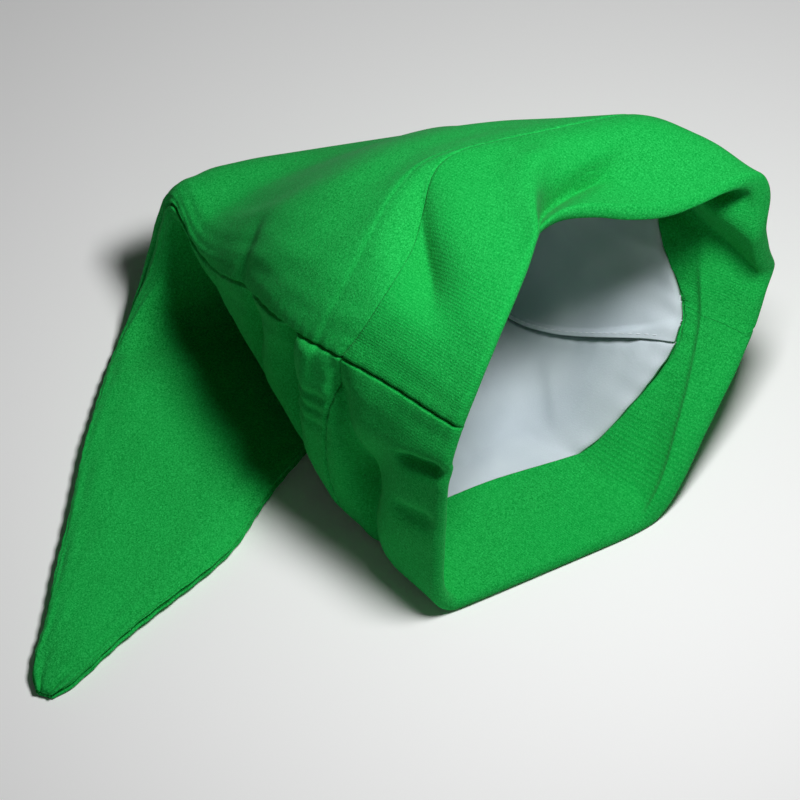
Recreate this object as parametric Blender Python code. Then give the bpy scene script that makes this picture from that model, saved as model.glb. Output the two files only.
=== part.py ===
"""Elf hat: a long pointed cloth cap that lies on its side with its tail folded under the crown.

The cone is two panels sewn along a near and a far side seam. A wide headband is folded double
over the rim, so that its inner half faces the hollow, and a white lining bag is sewn to it.
The rim's mouth faces -Y, the crown runs back along +Y, and the tail folds under it towards -X.
The hat stands on the plane z = 0, with its origin under the headband.
"""
import math

import bpy
import numpy as np

# Driving dimensions, in metres
MOUTH_WIDTH = 0.206
HAT_HEIGHT = 0.150
CROWN_LENGTH = 0.222
TAIL_LENGTH = 0.244
TAIL_WIDTH = 0.128
TAIL_THICKNESS = 0.011
TAIL_HEADING = math.radians(200)
BAND_WIDTH = 0.062
FACING_DEPTH = 0.056
LINING_DEPTH = 0.188
CLOSING_START = 0.110
CLOSING = 0.60
HEM_FOLD = 0.006
CLOTH = 0.0018
LINING_CLOTH = 0.0011
SEAM_GAP = 0.0005

# The origin is on the floor under the headband, at shares of the mouth's width and the crown's length
ORIGIN_SHARE = (0.27, 0.05)

# Where the crown's sections stand: each corner is (x, y, z) in shares of the mouth's width,
# the crown's length and the hat's height. Along is the distance from the rim, in crown lengths.
# A seam's place is how far up its side it lies, from -1 at the foot to 1 at the top. Sweep is how
# far the top bows back, in crown lengths. Squareness 2 is an ellipse's corner.
#  along  near foot              near top               far top                far foot
#         near seam, far seam, sweep, squareness of the near top, the far top and the foot
CROWN_SECTIONS = [
    (0.00, (-0.055, 0.000, -0.02), (0.050, 0.030, 1.06), (1.150, 0.000, 0.98), (0.520, -0.170, -0.02),
     0.42, -0.05, 0.18, 2.0, 3.8, 7.0),
    (0.28, (-0.020, 0.285, -0.02), (0.000, 0.330, 1.00), (1.090, 0.220, 1.01), (0.545, 0.100, -0.02),
     0.46, -0.10, 0.15, 2.2, 3.6, 6.0),
    (0.50, (0.030, 0.470, 0.09), (0.040, 0.520, 0.94), (0.980, 0.370, 0.93), (0.640, 0.300, 0.04),
     0.32, -0.15, 0.06, 2.4, 2.8, 5.0),
    (0.72, (0.125, 0.680, 0.09), (0.110, 0.710, 0.82), (0.860, 0.520, 0.81), (0.740, 0.450, 0.09),
     0.20, -0.10, 0.02, 2.4, 2.6, 4.0),
    (0.88, (0.170, 0.840, 0.26), (0.190, 0.900, 0.55), (0.900, 0.640, 0.57), (0.800, 0.500, 0.20),
     -0.05, -0.05, 0.00, 2.4, 2.4, 3.0),
    (1.00, (0.180, 0.950, 0.36), (0.280, 1.055, 0.46), (0.950, 0.660, 0.32), (0.860, 0.540, 0.18),
     0.00, 0.00, 0.00, 2.8, 2.8, 2.8),
    (1.10, (0.140, 0.950, 0.24), (0.210, 1.080, 0.08), (0.930, 0.630, 0.02), (0.840, 0.520, 0.14),
     0.00, 0.00, 0.00, 3.0, 3.0, 3.0),
]

# Where the tail's sections lie: its near and far edges are (along, across) in shares of the
# tail's length and width, from the folded corner. Along is the distance from the fold.
#  along  near edge         far edge        thickness
TAIL_SECTIONS = [
    (0.16, (0.167, -0.064), (-0.244, 1.000), 1.20),
    (0.32, (0.305, -0.026), (0.085, 0.840), 1.00),
    (0.50, (0.471, 0.044), (0.369, 0.729), 1.00),
    (0.70, (0.670, 0.148), (0.567, 0.693), 0.95),
    (0.87, (0.858, 0.245), (0.811, 0.526), 0.85),
    (0.98, (0.970, 0.300), (0.966, 0.432), 0.55),
    (1.00, (0.996, 0.335), (0.994, 0.400), 0.36),
]
TAIL_SQUARENESS = 4.0

# The corner that the tail is folded at, in shares of the mouth's width and the crown's length
FOLD_CORNER = (0.248, 1.0)

# Where across the top it lies furthest back, and how wide that bow is, in shares of its width
BOW_PLACE = 0.42
BOW_WIDTH = 0.24

# Folds and dents of the cloth. Around runs from the near seam (0) over the top to the far
# seam (0.5) and back below (1); along is in crown lengths, depth in shares of the hat's height,
# inwards. A negative depth stands out.
#  name  around  along  half width around  half length along  slant  depth
FOLDS = [
    ("flap_droop", 0.260, 0.02, 0.060, 0.190, 0.10, 0.105),
    ("pleat", 0.200, 0.07, 0.022, 0.080, 0.30, 0.033),
    ("roof_dent", 0.100, 0.20, 0.028, 0.100, 0.20, 0.047),
    ("near_gather", 0.930, 0.52, 0.045, 0.045, 0.00, 0.040),
    ("back_gather", 0.950, 0.64, 0.030, 0.030, 0.00, 0.027),
    ("band_valley", 0.885, 0.21, 0.045, 0.070, -0.60, 0.053),
    ("far_lobe", 0.385, 0.08, 0.030, 0.150, 0.20, 0.030),
    ("far_bulge", 0.490, 0.00, 0.070, 0.170, 0.00, -0.135),
]

# How deep the facing reaches behind the rim, in shares of its depth. Far down the mouth it is
# pulled forward.
#  around  depth
FACING_EDGE = [
    (0.00, 1.00),
    (0.20, 1.00),
    (0.43, 1.07),
    (0.52, 0.54),
    (0.62, 0.93),
    (0.80, 1.00),
    (1.00, 1.00),
]

# How finely the cloth is divided
PANEL_STEPS = 20
BAND_STEPS = 6
ROLL_STEPS = 4
CROWN_STEPS = 13
TAIL_STEPS = 15
LINING_STEPS = 12

# Small steps that directions are measured with, along in metres and around as a share of a turn
STEP_ALONG = 0.002
STEP_AROUND = 0.004

# Edges sharper than this stay hard in the shading
HARD_EDGE = math.radians(40)

# Colours, linear, with roughness
FLEECE = ((0.012, 0.30, 0.045, 1.0), 0.92)
FLEECE_BAND = ((0.014, 0.32, 0.050, 1.0), 0.90)
TWILL = ((0.62, 0.67, 0.70, 1.0), 0.80)


def section_rows():
    """All sections from rim to tip: distance along, four corners, seams, sweep and squareness."""
    size = np.array([MOUTH_WIDTH, CROWN_LENGTH, HAT_HEIGHT])
    rows = []
    for along, near_foot, near_top, far_top, far_foot, *outline in CROWN_SECTIONS:
        corners = np.array([near_foot, near_top, far_top, far_foot]) * size
        rows.append([along * CROWN_LENGTH, *corners.ravel(), *outline])

    fold_corner = np.array(FOLD_CORNER) * size[:2]
    ahead = np.array([math.cos(TAIL_HEADING), math.sin(TAIL_HEADING)]) * TAIL_LENGTH
    across = np.array([-math.sin(TAIL_HEADING), math.cos(TAIL_HEADING)]) * TAIL_WIDTH
    for along, near_edge, far_edge, thick in TAIL_SECTIONS:
        near = fold_corner + near_edge[0] * ahead + near_edge[1] * across
        far = fold_corner + far_edge[0] * ahead + far_edge[1] * across
        top = thick * TAIL_THICKNESS
        corners = [[*near, top], [*near, 0.0], [*far, 0.0], [*far, top]]
        distance = CROWN_LENGTH + along * TAIL_LENGTH
        rows.append([distance, *np.ravel(corners), 0.0, 0.0, 0.0, *[TAIL_SQUARENESS] * 3])
    return np.array(rows)


def smooth_rows(rows, along):
    """Cubic curves through every column of the rows, read at the distances asked for."""
    knots, values = rows[:, 0], rows[:, 1:]
    steps = np.diff(knots)[:, None]
    slopes = np.diff(values, axis=0) / steps
    tangents = np.concatenate([slopes[:1], slopes, slopes[-1:]])
    tangents = (tangents[:-1] + tangents[1:]) / 2
    span = np.clip(np.searchsorted(knots, along, side="right") - 1, 0, len(knots) - 2)
    step = steps[span]
    t = ((along - knots[span])[..., None]) / step
    start, end = values[span], values[span + 1]
    return (
        (2 * t**3 - 3 * t**2 + 1) * start
        + (t**3 - 2 * t**2 + t) * step * tangents[span]
        + (3 * t**2 - 2 * t**3) * end
        + (t**3 - t**2) * step * tangents[span + 1]
    )


def unit(vectors):
    """The same vectors, one metre long."""
    return vectors / np.maximum(np.linalg.norm(vectors, axis=-1, keepdims=True), 1e-9)


def inset_corners(corner, inset):
    """The four corners of each section, moved so that every side lies this far further in."""
    moved = []
    for place in range(4):
        after = unit(corner[..., (place + 1) % 4, :] - corner[..., place, :])
        before = unit(corner[..., (place - 1) % 4, :] - corner[..., place, :])
        opening = np.linalg.norm(np.cross(after, before), axis=-1, keepdims=True)
        moved.append(corner[..., place, :] + (after + before) * inset[..., None] / opening)
    return np.stack(moved, axis=-2)


def outline_points(along, around, inset=0.0, flatten=0.0):
    """Points of the smooth hat: a rounded four-cornered section at each distance along.

    Flatten is the share by which the top and the foot are pressed together.
    """
    row = smooth_rows(section_rows(), along)
    corner = row[..., :12].reshape(row.shape[:-1] + (4, 3))
    opposite = corner[..., [1, 0, 3, 2], :]
    corner = corner + (opposite - corner) * np.broadcast_to(flatten, along.shape)[..., None, None] / 2
    corner = inset_corners(corner, np.broadcast_to(inset, along.shape))
    near_angle = np.arcsin(np.clip(row[..., 12], -1, 1))
    far_angle = math.pi - np.arcsin(np.clip(row[..., 13], -1, 1))

    turn = np.mod(around, 1.0)
    over = near_angle + (far_angle - near_angle) * turn * 2
    under = far_angle + (near_angle + 2 * math.pi - far_angle) * (turn * 2 - 1)
    angle = np.where(turn < 0.5, over, under)
    cosine, sine = np.cos(angle), np.sin(angle)
    top_square = row[..., 15] * (1 + cosine) / 2 + row[..., 16] * (1 - cosine) / 2
    square = np.where(sine > 0, top_square, row[..., 17])
    radius = (np.abs(cosine) ** square + np.abs(sine) ** square) ** (-1 / square)
    side = ((1 - radius * cosine) / 2)[..., None]
    up = ((1 + radius * sine) / 2)[..., None]
    foot = corner[..., 0, :] * (1 - side) + corner[..., 3, :] * side
    top = corner[..., 1, :] * (1 - side) + corner[..., 2, :] * side
    points = foot * (1 - up) + top * up
    bow = np.exp(-((side - BOW_PLACE) / BOW_WIDTH) ** 2) * up**2
    points[..., 1] += row[..., 14] * CROWN_LENGTH * bow[..., 0]
    return points


def fold_depth(along, around):
    """How far the folds and dents sink the cloth, in metres, as a sum of soft grooves."""
    depth = np.zeros(np.broadcast(along, around).shape)
    for _, centre, place, width, length, slant, sink in FOLDS:
        ahead = (along / CROWN_LENGTH - place) / length
        beside = np.mod(around - centre - slant * (along / CROWN_LENGTH - place) + 0.5, 1.0) - 0.5
        depth += sink * HAT_HEIGHT * np.exp(-(beside / width) ** 2 - ahead**2)
    return depth


def normals_of(along, around):
    """Outward normals of the smooth hat, from small steps along it and around it."""
    ahead = outline_points(along + STEP_ALONG, around) - outline_points(along - STEP_ALONG, around)
    beside = outline_points(along, around + STEP_AROUND) - outline_points(along, around - STEP_AROUND)
    return unit(np.cross(beside, ahead))


def cloth_points(along, around, inset=0.0, flatten=0.0):
    """Points of the cloth, this far inside its outer face, and pressed flat where they meet the floor."""
    points = outline_points(along, around, inset, flatten)
    points -= normals_of(along, around) * fold_depth(along, around)[..., None]
    points[..., 2] = np.maximum(points[..., 2], inset)
    return points - np.array([ORIGIN_SHARE[0] * MOUTH_WIDTH, ORIGIN_SHARE[1] * CROWN_LENGTH, 0.0])


def facing_depth(around):
    """How deep the facing reaches at each place around the rim."""
    edge = np.array(FACING_EDGE)
    turn = np.mod(around, 1.0)
    return smooth_rows(edge, turn)[..., 0] * FACING_DEPTH


def seam_margin(along, seam_turn):
    """Half of the gap at a side seam, as a share of the way round, from the cloth's run there."""
    after = outline_points(along, np.full_like(along, seam_turn + STEP_AROUND))
    before = outline_points(along, np.full_like(along, seam_turn - STEP_AROUND))
    return SEAM_GAP * STEP_AROUND / np.linalg.norm(after - before, axis=-1)


def panel_grid(along, first_turn):
    """Distances along and places around for one half of the hat, from seam to seam."""
    share = np.linspace(0, 1, PANEL_STEPS + 1)[None, :]
    start = first_turn + seam_margin(along, first_turn)[:, None]
    end = first_turn + 0.5 - seam_margin(along, first_turn + 0.5)[:, None]
    around = start + (end - start) * share
    return np.broadcast_to(along[:, None], around.shape), around


def make_material(name, finish):
    colour, roughness = finish
    material = bpy.data.materials.new(name)
    material.use_nodes = True
    shader = material.node_tree.nodes["Principled BSDF"]
    shader.inputs["Base Color"].default_value = colour
    shader.inputs["Roughness"].default_value = roughness
    shader.inputs["Metallic"].default_value = 0.0
    return material


def cloth_object(name, face, back, material, collection):
    """A sheet of cloth as one closed body: a grid of points for each side, joined round its rim."""
    rows, columns = face.shape[:2]
    front = np.arange(rows * columns).reshape(rows, columns)
    rear = front + rows * columns

    def strips(low, high):
        return np.stack([low[:-1], low[1:], high[1:], high[:-1]], axis=-1)

    quads = [strips(front[row], front[row + 1]) for row in range(rows - 1)]
    quads += [strips(rear[row + 1], rear[row]) for row in range(rows - 1)]
    quads += [strips(rear[0], front[0]), strips(front[-1], rear[-1])]
    quads += [strips(front[:, 0], rear[:, 0]), strips(rear[:, -1], front[:, -1])]
    points = np.concatenate([face.reshape(-1, 3), back.reshape(-1, 3)])
    mesh = bpy.data.meshes.new(name)
    mesh.from_pydata(points.tolist(), [], np.concatenate(quads).tolist())
    mesh.shade_smooth()
    mesh.set_sharp_from_angle(angle=HARD_EDGE)
    mesh.materials.append(material)
    piece = bpy.data.objects.new(name, mesh)
    collection.objects.link(piece)
    return piece


def cone_panel(name, first_turn, material, collection):
    """One panel of the cone, from the headband's seam to the tip, with the tail folded under."""
    fold_start = CROWN_LENGTH * CROWN_SECTIONS[-3][0]
    crown = np.linspace(BAND_WIDTH + SEAM_GAP, fold_start, CROWN_STEPS + 1)[:-1]
    tail = np.linspace(fold_start, CROWN_LENGTH + TAIL_LENGTH, TAIL_STEPS + 1)
    along, around = panel_grid(np.concatenate([crown, tail]), first_turn)
    return cloth_object(
        name, cloth_points(along, around), cloth_points(along, around, CLOTH), material, collection
    )


def band_half(name, first_turn, material, collection):
    """One half of the headband: a strip folded double over the rim, its inner half the facing."""
    radius = HEM_FOLD / 2
    turn = np.linspace(0, math.pi, ROLL_STEPS + 1)

    def strip(depth):
        outer = np.linspace(BAND_WIDTH, radius, BAND_STEPS + 1)[:-1]
        inner = np.linspace(radius, FACING_DEPTH, BAND_STEPS + 1)[1:]
        place = np.concatenate([outer, radius - (radius - depth) * np.sin(turn), inner])
        inset = np.concatenate([0 * outer + depth, radius - (radius - depth) * np.cos(turn),
                                0 * inner + HEM_FOLD - depth])
        facing = np.arange(len(place)) > len(outer) + ROLL_STEPS
        along, around = panel_grid(place, first_turn)
        stretch = (facing_depth(around) - radius) / (FACING_DEPTH - radius)
        along = np.where(facing[:, None], radius + (along - radius) * stretch, along)
        return cloth_points(along, around, inset[:, None] + 0 * around)

    return cloth_object(name, strip(0.0)[::-1], strip(CLOTH)[::-1], material, collection)


def lining_half(name, first_turn, material, collection):
    """One half of the lining bag, sewn to the facing's edge and closed straight across its end."""
    place = np.linspace(FACING_DEPTH + SEAM_GAP, LINING_DEPTH, LINING_STEPS + 1)
    along, around = panel_grid(place, first_turn)
    deep = (LINING_DEPTH - along) / (LINING_DEPTH - FACING_DEPTH - SEAM_GAP)
    along = along + (facing_depth(around) - FACING_DEPTH) * deep
    closing = CLOSING * np.clip((along - CLOSING_START) / (LINING_DEPTH - CLOSING_START), 0, 1) ** 2
    face = cloth_points(along, around, HEM_FOLD + 0 * around, closing)
    back = cloth_points(along, around, HEM_FOLD - LINING_CLOTH + 0 * around, closing)
    return cloth_object(name, face[::-1], back[::-1], material, collection)


def build():
    for old in list(bpy.data.objects):
        bpy.data.objects.remove(old, do_unlink=True)
    collection = bpy.data.collections.new("elf_hat")
    bpy.context.scene.collection.children.link(collection)

    fleece = make_material("green_fleece", FLEECE)
    band = make_material("green_band", FLEECE_BAND)
    twill = make_material("white_lining", TWILL)
    for side, first_turn in (("top", 0.0), ("bottom", 0.5)):
        cone_panel(f"cone_{side}_panel", first_turn, fleece, collection)
        band_half(f"headband_{side}", first_turn, band, collection)
        lining_half(f"lining_{side}", first_turn, twill, collection)


build()
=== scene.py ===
# %% [markdown]
# # A green elf hat on its side
#
# The hat is a long pointed cone of brushed green fleece, a wide ribbed headband that is folded
# double over the rim, and a white lining bag sewn to the band's inner half. It lies on its side
# with its tail folded under the crown. The rigid solids of the hat load first, and everything
# here is made around them, in the same place and in metres.

# %% Load the frame
import math

import bmesh
import bpy
import numpy as np
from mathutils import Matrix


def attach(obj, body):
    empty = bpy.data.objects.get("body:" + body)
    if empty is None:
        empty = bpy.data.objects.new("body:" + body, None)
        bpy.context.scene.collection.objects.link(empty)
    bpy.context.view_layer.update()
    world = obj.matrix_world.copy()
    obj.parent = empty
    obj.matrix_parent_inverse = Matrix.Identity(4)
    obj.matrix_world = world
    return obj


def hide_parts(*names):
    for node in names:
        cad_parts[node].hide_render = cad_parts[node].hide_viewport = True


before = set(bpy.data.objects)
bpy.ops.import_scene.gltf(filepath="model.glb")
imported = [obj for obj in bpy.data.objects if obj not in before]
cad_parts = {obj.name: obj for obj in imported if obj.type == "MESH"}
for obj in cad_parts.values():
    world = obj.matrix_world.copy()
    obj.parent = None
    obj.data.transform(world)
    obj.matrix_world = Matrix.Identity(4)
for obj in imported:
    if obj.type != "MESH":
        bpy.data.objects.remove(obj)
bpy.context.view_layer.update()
BODY = "root"
MM = 0.001

# %% [markdown]
# ## The camera
#
# The picture was taken from high up at the hat's left, with hardly any perspective. A long lens far
# away gives the same flat view. One pixel of the picture is 0.45 mm at the hat, and the near foot
# of the rim stands at a known pixel, so the camera's aim is worked out from that one point.

# %% Camera
PICTURE_SIDE = 800
PIXEL = 0.45 * MM
CAMERA_DISTANCE = 5.0
CAMERA_TURN = math.radians(-46)
CAMERA_HEIGHT = math.radians(50)
SENSOR = 36.0

# The rim's near foot, at the camera's pixel (across, down)
RIM_FOOT = np.array([-0.05562, -0.0111, 0.0])
RIM_FOOT_PIXEL = (447, 610)

right = np.array([math.cos(CAMERA_TURN), math.sin(CAMERA_TURN), 0.0])
back = np.array([
    math.sin(CAMERA_TURN) * math.cos(CAMERA_HEIGHT),
    -math.cos(CAMERA_TURN) * math.cos(CAMERA_HEIGHT),
    math.sin(CAMERA_HEIGHT),
])
up = np.cross(back, right)
aim = (
    RIM_FOOT
    + right * (PICTURE_SIDE / 2 - RIM_FOOT_PIXEL[0]) * PIXEL
    + up * (RIM_FOOT_PIXEL[1] - PICTURE_SIDE / 2) * PIXEL
)

camera_data = bpy.data.cameras.new("camera")
camera_data.sensor_width = SENSOR
camera_data.lens = SENSOR * CAMERA_DISTANCE / (PICTURE_SIDE * PIXEL)
camera_data.clip_end = 20
camera = bpy.data.objects.new("camera", camera_data)
camera.location = aim + back * CAMERA_DISTANCE
camera.rotation_euler = (math.pi / 2 - CAMERA_HEIGHT, 0, CAMERA_TURN)
bpy.context.scene.collection.objects.link(camera)
bpy.context.scene.camera = camera
print("lens", round(camera_data.lens), "mm, aimed at", aim.round(3))

# %% [markdown]
# ## Floor and light
#
# The floor is plain and pale. One fairly small lamp hangs high over the hat, a little towards the
# mouth and to the right. It makes the roof and the flap over the mouth bright, leaves the near wall
# in shade, and draws the soft-edged shadow on the tail. A wide weak lamp at the left and a very weak
# white world keep the folds from going quite black.

# %% Floor, lamps and world
FLOOR_SIDE = 3.0
FLOOR_DROP = 0.2 * MM
FLOOR_WHITE = 0.92
FLOOR_ROUGHNESS = 0.9
WORLD_STRENGTH = 0.02

#  name  direction from the hat  distance  side  power in watts
LAMPS = [
    ("key_lamp", (0.22, -0.34, 1.30), 0.62, 0.16, 4.2),
    ("left_lamp", (-0.90, -0.80, 0.75), 1.6, 0.8, 0.6),
]


def new_material(name):
    """A new material with nodes, its tree and its Principled BSDF shader."""
    material = bpy.data.materials.new(name)
    material.use_nodes = True
    return material, material.node_tree, material.node_tree.nodes["Principled BSDF"]


def soft_lamp(name, direction, distance, side, power):
    """A square lamp that shines at the hat from a direction, as an area light."""
    light = bpy.data.lights.new(name, "AREA")
    light.size = side
    light.energy = power
    lamp = bpy.data.objects.new(name, light)
    toward = np.array(direction) / np.linalg.norm(direction)
    lamp.location = aim + toward * distance
    lamp.rotation_euler = (math.acos(toward[2]), 0, math.atan2(toward[0], -toward[1]))
    bpy.context.scene.collection.objects.link(lamp)
    print(name, power, "W at", distance, "m")


floor_mesh = bpy.data.meshes.new("floor")
half = FLOOR_SIDE / 2
floor_mesh.from_pydata(
    [(-half, -half, -FLOOR_DROP), (half, -half, -FLOOR_DROP), (half, half, -FLOOR_DROP),
     (-half, half, -FLOOR_DROP)], [], [(0, 1, 2, 3)])
floor_material, _, floor_shader = new_material("pale_floor")
floor_shader.inputs["Base Color"].default_value = (FLOOR_WHITE, FLOOR_WHITE, FLOOR_WHITE, 1)
floor_shader.inputs["Roughness"].default_value = FLOOR_ROUGHNESS
floor_mesh.materials.append(floor_material)
floor = bpy.data.objects.new("floor", floor_mesh)
bpy.context.scene.collection.objects.link(floor)

for lamp_row in LAMPS:
    soft_lamp(*lamp_row)
world = bpy.data.worlds.new("soft_white")
world.use_nodes = True
world.node_tree.nodes["Background"].inputs["Color"].default_value = (1, 1, 1, 1)
world.node_tree.nodes["Background"].inputs["Strength"].default_value = WORLD_STRENGTH
bpy.context.scene.world = world
bpy.context.scene.view_settings.view_transform = "Standard"

# %% [markdown]
# ## The shape of the hat
#
# A lying hat is easiest to describe as a hand would feel it: walk from the rim to the tip, and at
# each distance say where the near foot, the near top, the far top and the far foot of the cloth
# are. A smooth curve through each column of that table gives a section at any distance, and a
# rounded four-sided outline joins its corners. So every point of the cloth has two numbers: how far
# along it lies, in metres from the rim, and how far around, from the near seam (0) over the top
# to the far seam (0.5) and back below (1). These are the same sections as the solids have.

# %% Sizes and sections
MOUTH_WIDTH = 0.206
HAT_HEIGHT = 0.150
CROWN_LENGTH = 0.222
TAIL_LENGTH = 0.244
TAIL_WIDTH = 0.128
TAIL_THICKNESS = 0.011
TAIL_HEADING = math.radians(200)
BAND_WIDTH = 0.062
FACING_DEPTH = 0.056
LINING_DEPTH = 0.188
CLOSING_START = 0.110
CLOSING = 0.60
HEM_FOLD = 0.006
CLOTH = 0.0018
LINING_CLOTH = 0.0011
ORIGIN_SHARE = (0.27, 0.05)
FOLD_CORNER = (0.248, 1.0)
BOW_PLACE = 0.42
BOW_WIDTH = 0.24
TAIL_SQUARENESS = 4.0

# Corners are (x, y, z) in shares of the mouth's width, the crown's length and the hat's height
#  along  near foot              near top               far top                far foot
#         near seam, far seam, sweep, squareness of the near top, the far top and the foot
CROWN_SECTIONS = [
    (0.00, (-0.055, 0.000, -0.02), (0.050, 0.030, 1.06), (1.150, 0.000, 0.98), (0.520, -0.170, -0.02),
     0.42, -0.05, 0.18, 2.0, 3.8, 7.0),
    (0.28, (-0.020, 0.285, -0.02), (0.000, 0.330, 1.00), (1.090, 0.220, 1.01), (0.545, 0.100, -0.02),
     0.46, -0.10, 0.15, 2.2, 3.6, 6.0),
    (0.50, (0.030, 0.470, 0.09), (0.040, 0.520, 0.94), (0.980, 0.370, 0.93), (0.640, 0.300, 0.04),
     0.32, -0.15, 0.06, 2.4, 2.8, 5.0),
    (0.72, (0.125, 0.680, 0.09), (0.110, 0.710, 0.82), (0.860, 0.520, 0.81), (0.740, 0.450, 0.09),
     0.20, -0.10, 0.02, 2.4, 2.6, 4.0),
    (0.88, (0.170, 0.840, 0.26), (0.190, 0.900, 0.55), (0.900, 0.640, 0.57), (0.800, 0.500, 0.20),
     -0.05, -0.05, 0.00, 2.4, 2.4, 3.0),
    (1.00, (0.180, 0.950, 0.36), (0.280, 1.055, 0.46), (0.950, 0.660, 0.32), (0.860, 0.540, 0.18),
     0.00, 0.00, 0.00, 2.8, 2.8, 2.8),
    (1.10, (0.140, 0.950, 0.24), (0.210, 1.080, 0.08), (0.930, 0.630, 0.02), (0.840, 0.520, 0.14),
     0.00, 0.00, 0.00, 3.0, 3.0, 3.0),
]

# The tail's edges are (along, across) in shares of its length and width, from the folded corner
#  along  near edge         far edge        thickness
TAIL_SECTIONS = [
    (0.16, (0.167, -0.064), (-0.244, 1.000), 1.20),
    (0.32, (0.305, -0.026), (0.085, 0.840), 1.00),
    (0.50, (0.471, 0.044), (0.369, 0.729), 1.00),
    (0.70, (0.670, 0.148), (0.567, 0.693), 0.95),
    (0.87, (0.858, 0.245), (0.811, 0.526), 0.85),
    (0.98, (0.970, 0.300), (0.966, 0.432), 0.55),
    (1.00, (0.996, 0.335), (0.994, 0.400), 0.36),
]

# How deep the facing reaches behind the rim, in shares of its depth, at places around it
FACING_EDGE = [
    (0.00, 1.00),
    (0.20, 1.00),
    (0.43, 1.07),
    (0.52, 0.54),
    (0.62, 0.93),
    (0.80, 1.00),
    (1.00, 1.00),
]


def section_rows():
    """All sections from rim to tip: distance along, four corners, seams, sweep and squareness."""
    size = np.array([MOUTH_WIDTH, CROWN_LENGTH, HAT_HEIGHT])
    rows = []
    for along, near_foot, near_top, far_top, far_foot, *outline in CROWN_SECTIONS:
        corners = np.array([near_foot, near_top, far_top, far_foot]) * size
        rows.append([along * CROWN_LENGTH, *corners.ravel(), *outline])
    corner = np.array(FOLD_CORNER) * size[:2]
    ahead = np.array([math.cos(TAIL_HEADING), math.sin(TAIL_HEADING)]) * TAIL_LENGTH
    across = np.array([-math.sin(TAIL_HEADING), math.cos(TAIL_HEADING)]) * TAIL_WIDTH
    for along, near_edge, far_edge, thick in TAIL_SECTIONS:
        near = corner + near_edge[0] * ahead + near_edge[1] * across
        far = corner + far_edge[0] * ahead + far_edge[1] * across
        top = thick * TAIL_THICKNESS
        corners = [[*near, top], [*near, 0.0], [*far, 0.0], [*far, top]]
        distance = CROWN_LENGTH + along * TAIL_LENGTH
        rows.append([distance, *np.ravel(corners), 0.0, 0.0, 0.0, *[TAIL_SQUARENESS] * 3])
    return np.array(rows)


SECTIONS = section_rows()
HAT_LENGTH = CROWN_LENGTH + TAIL_LENGTH
print(len(SECTIONS), "sections over", round(HAT_LENGTH, 3), "m")

# %% [markdown]
# ## From the table to a surface
#
# A cubic Hermite curve passes through every row and leaves it in the mean direction of its
# neighbours, which keeps the cloth smooth without overshoot. The section itself is a superellipse:
# with an exponent of 2 it is an ellipse, and the higher the exponent, the squarer its corners.
# Everything is computed for whole grids of points at once.

# %% Smooth sections
STEP_ALONG = 2 * MM
STEP_AROUND = 0.004


def smooth_rows(rows, along):
    """Reads every column of the rows at the distances asked for, on cubic Hermite curves."""
    knots, values = rows[:, 0], rows[:, 1:]
    steps = np.diff(knots)[:, None]
    slopes = np.diff(values, axis=0) / steps
    tangents = np.concatenate([slopes[:1], slopes, slopes[-1:]])
    tangents = (tangents[:-1] + tangents[1:]) / 2
    span = np.clip(np.searchsorted(knots, along, side="right") - 1, 0, len(knots) - 2)
    step = steps[span]
    t = ((along - knots[span])[..., None]) / step
    return (
        (2 * t**3 - 3 * t**2 + 1) * values[span]
        + (t**3 - 2 * t**2 + t) * step * tangents[span]
        + (3 * t**2 - 2 * t**3) * values[span + 1]
        + (t**3 - t**2) * step * tangents[span + 1]
    )


def unit(vectors):
    """The same vectors, one metre long."""
    return vectors / np.maximum(np.linalg.norm(vectors, axis=-1, keepdims=True), 1e-9)


def inset_corners(corner, inset):
    """Moves the four corners so that every side of the section lies this far further in."""
    moved = []
    for place in range(4):
        after = unit(corner[..., (place + 1) % 4, :] - corner[..., place, :])
        before = unit(corner[..., (place - 1) % 4, :] - corner[..., place, :])
        opening = np.linalg.norm(np.cross(after, before), axis=-1, keepdims=True)
        moved.append(corner[..., place, :] + (after + before) * inset[..., None] / opening)
    return np.stack(moved, axis=-2)


def outline_points(along, around, inset=0.0, flatten=0.0):
    """Points of the smooth hat: a superellipse's angle, read as shares across and up, blends the
    section's four corners. The top bows back by a bell curve across it. Flatten presses the top
    and the foot together by that share."""
    row = smooth_rows(SECTIONS, along)
    corner = row[..., :12].reshape(row.shape[:-1] + (4, 3))
    opposite = corner[..., [1, 0, 3, 2], :]
    corner = corner + (opposite - corner) * np.broadcast_to(flatten, along.shape)[..., None, None] / 2
    corner = inset_corners(corner, np.broadcast_to(inset, along.shape))
    near_angle = np.arcsin(np.clip(row[..., 12], -1, 1))
    far_angle = math.pi - np.arcsin(np.clip(row[..., 13], -1, 1))
    turn = np.mod(around, 1.0)
    over = near_angle + (far_angle - near_angle) * turn * 2
    under = far_angle + (near_angle + 2 * math.pi - far_angle) * (turn * 2 - 1)
    angle = np.where(turn < 0.5, over, under)
    cosine, sine = np.cos(angle), np.sin(angle)
    top_square = row[..., 15] * (1 + cosine) / 2 + row[..., 16] * (1 - cosine) / 2
    square = np.where(sine > 0, top_square, row[..., 17])
    radius = (np.abs(cosine) ** square + np.abs(sine) ** square) ** (-1 / square)
    side = ((1 - radius * cosine) / 2)[..., None]
    rise = ((1 + radius * sine) / 2)[..., None]
    foot = corner[..., 0, :] * (1 - side) + corner[..., 3, :] * side
    top = corner[..., 1, :] * (1 - side) + corner[..., 2, :] * side
    points = foot * (1 - rise) + top * rise
    bow = np.exp(-((side - BOW_PLACE) / BOW_WIDTH) ** 2) * rise**2
    points[..., 1] += row[..., 14] * CROWN_LENGTH * bow[..., 0]
    return points


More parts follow.
